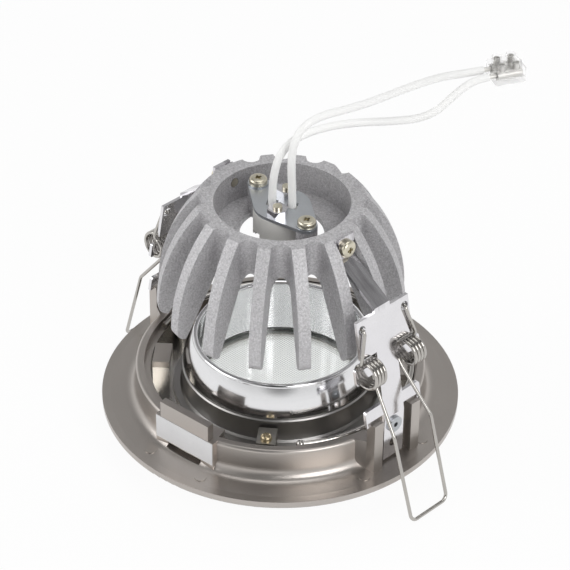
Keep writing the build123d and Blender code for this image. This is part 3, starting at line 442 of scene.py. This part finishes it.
# Lamp ring: turned aluminium, polished bright, with the finest of turning lines round its axis, and held
# down by the ring clips; outside, its foot below the groove has a darker grey colour as painted reflection
# of the dark bezel around it, and a rougher finish
foot_bottom, foot_top, bore_edge = 0.0106, 0.0111, 0.0265
mirror, mirror_grain = grained_finish(
    "polished_aluminium", dark=(0.72, 0.72, 0.73), light=(0.82, 0.82, 0.83),
    coarse_scale=40.0, fine_scale=500.0, smooth=0.09, rough=0.15, metallic=1.0,
)
tree = mirror.node_tree
where = tree.nodes.new("ShaderNodeGroup")
where.node_tree = axis_place
foot = tree.nodes.new("ShaderNodeMapRange")
foot.inputs["From Min"].default_value = foot_bottom
foot.inputs["From Max"].default_value = foot_top
foot.inputs["To Min"].default_value = 1.0
foot.inputs["To Max"].default_value = 0.0
tree.links.new(where.outputs["Height"], foot.inputs["Value"])
outside = past_limit(tree, where.outputs["Radius"], "GREATER_THAN", bore_edge)
painted_reflection_foot = overlap(tree, foot.outputs["Result"], outside)
# Painted reflection: the outside of the foot gets a dark grey colour for the dark bezel it reflects, and a
# higher roughness
refinish(mirror, mirror_grain, painted_reflection_foot, colour=(0.38, 0.37, 0.36), roughness=0.34)
place = tree.nodes.new("ShaderNodeTexCoord")
lines = tree.nodes.new("ShaderNodeTexWave")
lines.bands_direction = "Z"
lines.inputs["Scale"].default_value = 900.0
tree.links.new(place.outputs["Object"], lines.inputs["Vector"])
raise_surface(mirror, lines.outputs["Fac"], strength=0.02, depth=0.00005)
node["reflector_ring"].material_slots[0].material = mirror

# Ring clips: bent from plated brass strip, grey and rubbed brighter in places, each screwed to a boss
# of the bezel to hold the lamp ring down
strip, _ = grained_finish(
    "bronze_strip", dark=(0.30, 0.285, 0.26), light=(0.58, 0.56, 0.52),
    coarse_scale=220.0, fine_scale=1500.0, smooth=0.28, rough=0.45, metallic=1.0,
)
node["ring_clips"].material_slots[0].material = strip

# Clip screws and lamp contacts: brass, the screws as turned domes over the clips and the contacts as
# sleeves inside the ceramic
brass, _ = grained_finish(
    "brass_screw", dark=(0.42, 0.34, 0.21), light=(0.66, 0.56, 0.38),
    coarse_scale=260.0, fine_scale=1800.0, smooth=0.20, rough=0.36, metallic=1.0,
)
for name in ("ring_clip_screws", "lamp_contacts"):
    node[name].material_slots[0].material = brass

# Heat sink: one aluminium casting, crown and fins together, sand-blasted so that it is grainy and
# pitted all over; the straps of the spring plates carry it
cast, cast_grain = grained_finish(
    "cast_aluminium", dark=(0.24, 0.235, 0.242), light=(0.82, 0.81, 0.825),
    coarse_scale=1700.0, fine_scale=3800.0, smooth=0.52, rough=0.70, metallic=0.75, contrast=1.8,
)
tree = cast.node_tree
place = tree.nodes.new("ShaderNodeTexCoord")
pits = tree.nodes.new("ShaderNodeTexVoronoi")
pits.inputs["Scale"].default_value = 1900.0
sand = tree.nodes.new("ShaderNodeMath")
sand.operation = "ADD"
tree.links.new(place.outputs["Object"], pits.inputs["Vector"])
tree.links.new(cast_grain.outputs["Height"], sand.inputs[0])
tree.links.new(pits.outputs["Distance"], sand.inputs[1])
raise_surface(cast, sand.outputs[0], strength=0.45, depth=0.00018)
node["heat_sink"].material_slots[0].material = cast

# Spring plates and nuts: steel under bright zinc with a faint spangle; the plates are pressed from strip,
# and higher up, along the strap that is screwed to the heat sink, darker streaks are painted into the
# colour as painted reflections
strap_start, strap_full, painted_reflection_share = 0.0510, 0.0535, 0.8
reflection_streak_dark, reflection_streak_light = (0.36, (0.55, 0.54, 0.55, 1)), (0.56, (1, 1, 1, 1))
zinc, zinc_grain = grained_finish(
    "zinc_steel", dark=(0.66, 0.65, 0.67), light=(0.87, 0.86, 0.88),
    coarse_scale=110.0, fine_scale=2400.0, smooth=0.08, rough=0.17, metallic=1.0,
)
raise_surface(zinc, zinc_grain.outputs["Height"], strength=0.05, depth=0.0001)
tree = zinc.node_tree
place = tree.nodes.new("ShaderNodeTexCoord")
height = tree.nodes.new("ShaderNodeSeparateXYZ")
# Painted reflections: from the strap's start upwards, stretched noise darkens the zinc colour in streaks
# along the strap
strap = tree.nodes.new("ShaderNodeMapRange")
strap.inputs["From Min"].default_value = strap_start
strap.inputs["From Max"].default_value = strap_full
strap.inputs["To Max"].default_value = painted_reflection_share
reflection_stretch = tree.nodes.new("ShaderNodeVectorMath")
reflection_stretch.operation = "MULTIPLY"
reflection_stretch.inputs[1].default_value = (60, 420, 60)
reflection_streaks = tree.nodes.new("ShaderNodeTexNoise")
reflection_streaks.inputs["Scale"].default_value = 1.0
reflection_streaks.inputs["Detail"].default_value = 3.0
shade = tree.nodes.new("ShaderNodeValToRGB")
for knot, (position, colour) in zip(shade.color_ramp.elements, (reflection_streak_dark, reflection_streak_light)):
    knot.position = position
    knot.color = colour
reflection_streaked = tree.nodes.new("ShaderNodeMix")
reflection_streaked.data_type = "RGBA"
reflection_streaked.blend_type = "MULTIPLY"
tree.links.new(place.outputs["Object"], height.inputs[0])
tree.links.new(height.outputs["Z"], strap.inputs["Value"])
tree.links.new(strap.outputs["Result"], reflection_streaked.inputs[0])
tree.links.new(place.outputs["Object"], reflection_stretch.inputs[0])
tree.links.new(reflection_stretch.outputs["Vector"], reflection_streaks.inputs["Vector"])
tree.links.new(reflection_streaks.outputs["Fac"], shade.inputs["Fac"])
tree.links.new(zinc_grain.outputs["Colour"], reflection_streaked.inputs[6])
tree.links.new(shade.outputs["Color"], reflection_streaked.inputs[7])
tree.links.new(reflection_streaked.outputs[2], tree.nodes["Principled BSDF"].inputs["Base Color"])
for name in ("spring_plate_right", "spring_plate_left", "ceramic_nuts"):
    node[name].material_slots[0].material = zinc

# Holder plate, washers and rivets: steel under a duller zinc with a blue cast; the plate is punched
# from sheet, and the hollow rivets fix the stems of the spring plates to the tongues of the bezel
blue, _ = grained_finish(
    "blue_zinc", dark=(0.44, 0.46, 0.48), light=(0.59, 0.61, 0.635),
    coarse_scale=160.0, fine_scale=1400.0, smooth=0.28, rough=0.44, metallic=1.0,
)
for name in ("holder_plate", "holder_washers", "plate_rivets"):
    node[name].material_slots[0].material = blue

# Screws: pan-head and through screws of steel, with a pale yellow passivated zinc, that hold the
# straps, the holder plate and the ceramic
yellow, _ = grained_finish(
    "yellow_zinc", dark=(0.52, 0.48, 0.37), light=(0.76, 0.72, 0.60),
    coarse_scale=420.0, fine_scale=2200.0, smooth=0.22, rough=0.38, metallic=1.0,
)
for name in ("strap_screws", "holder_screws", "ceramic_screws"):
    node[name].material_slots[0].material = yellow

# Ceramic: the lampholder's pressed and fired body of unglazed steatite, light grey with a dry grain,
# held under the holder plate by its through screws
steatite, steatite_grain = grained_finish(
    "steatite", dark=(0.62, 0.61, 0.58), light=(0.74, 0.73, 0.70),
    coarse_scale=180.0, fine_scale=2000.0, smooth=0.55, rough=0.72,
)
raise_surface(steatite, steatite_grain.outputs["Height"], strength=0.12, depth=0.0003)
node["ceramic_body"].material_slots[0].material = steatite

# Spring wire: bright nickel-plated spring steel, bent into the bails and the snap ring and wound into
# the coils below
spring_wire, _ = grained_finish(
    "spring_wire", dark=(0.36, 0.345, 0.325), light=(0.58, 0.56, 0.53),
    coarse_scale=240.0, fine_scale=2600.0, smooth=0.06, rough=0.14, metallic=1.0,
)
for name in ("bail_right", "bail_left", "snap_ring"):
    node[name].material_slots[0].material = spring_wire

# Torsion coils: four close-wound helices of the same wire, two to a bail, which on the real fitting wind
# up as the bail turns but here stay as drawn; the fixed leg of each is hooked into a hole of the plate
# above it
wire_radius = 0.00055
wire_sides = 14
coil_radius = 0.0039
coil_centre = Vector((0.04572, 0, 0.03505))
coil_inner, coil_outer = 0.0057, 0.01099
coil_steps = 130
arm_angle = radians(217.9)
leg_angle = radians(122.0 - 360 * 4)
leg_foot = Vector((0.04438, 0.01106, 0.04001))
leg_top = Vector((0.04300, 0.0088, 0.0476))
hook_end = leg_top + Vector((-0.0013, 0, 0.0013))
leg_steps = 8
leg_pull = 0.38
arm_dir = Vector((-sin(arm_angle), 0, cos(arm_angle)))
arm_foot = coil_centre + Vector((coil_radius * cos(arm_angle), coil_inner, coil_radius * sin(arm_angle)))
winding = [arm_foot + arm_dir * 2 * wire_radius]
for step in range(coil_steps + 1):
    angle = arm_angle + (leg_angle - arm_angle) * step / coil_steps
    across = coil_inner + (coil_outer - coil_inner) * step / coil_steps
    winding.append(coil_centre + Vector((coil_radius * cos(angle), across, coil_radius * sin(angle))))
climb = (leg_top - leg_foot).normalized()
inward = Vector((-1, 0, 0))
leg_stations = (
    (winding[-1], (winding[-1] - winding[-2]).normalized()),
    (leg_foot, climb),
    (leg_top, climb),
    (hook_end, inward),
    (hook_end + inward * 2 * wire_radius, inward),
)
leg = [winding[-1]]
for (here, out_dir), (there, in_dir) in zip(leg_stations, leg_stations[1:]):
    reach = (there - here).length * leg_pull
    pull, push = here + out_dir * reach, there - in_dir * reach
    for step in range(1, leg_steps + 1):
        t = step / leg_steps
        start_part = here * (1 - t) ** 3 + pull * 3 * t * (1 - t) ** 2
        leg.append(start_part + push * 3 * t * t * (1 - t) + there * t ** 3)
for coil_name, flip_x, flip_y, bail in (
    ("spring_coil_right_rear", 1, 1, "right_bail"),
    ("spring_coil_right_front", 1, -1, "right_bail"),
    ("spring_coil_left_front", -1, -1, "left_bail"),
    ("spring_coil_left_rear", -1, 1, "left_bail"),
):
    for part, points in (("turns", winding), ("leg", leg)):
        placed = [Vector((p.x * flip_x, p.y * flip_y, p.z)) for p in points]
        rings, faces = [], []
        side = None
        for index, point in enumerate(placed):
            before = placed[max(index - 1, 0)]
            after = placed[min(index + 1, len(placed) - 1)]
            along = (after - before).normalized()
            if side is None:
                side = along.orthogonal().normalized()
            side = (side - along * side.dot(along)).normalized()
            over = along.cross(side)
            for corner in range(wire_sides):
                turn = 2 * pi * corner / wire_sides
                rings.append(point + (side * cos(turn) + over * sin(turn)) * wire_radius)
        for index in range(len(placed) - 1):
            for corner in range(wire_sides):
                a = index * wire_sides + corner
                b = index * wire_sides + (corner + 1) % wire_sides
                faces.append((a, b, b + wire_sides, a + wire_sides))
        faces.append(tuple(range(wire_sides - 1, -1, -1)))
        faces.append(tuple(range(len(rings) - wire_sides, len(rings))))
        mesh = bpy.data.meshes.new(coil_name + "_" + part)
        mesh.from_pydata(rings, [], faces)
        mesh.update()
        mesh.shade_smooth()
        piece = bpy.data.objects.new(coil_name + "_" + part, mesh)
        bpy.context.collection.objects.link(piece)
        mesh.materials.append(spring_wire)
        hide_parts(coil_name)
        if part == "turns":
            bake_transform(piece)
        else:
            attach(piece, "fitting")
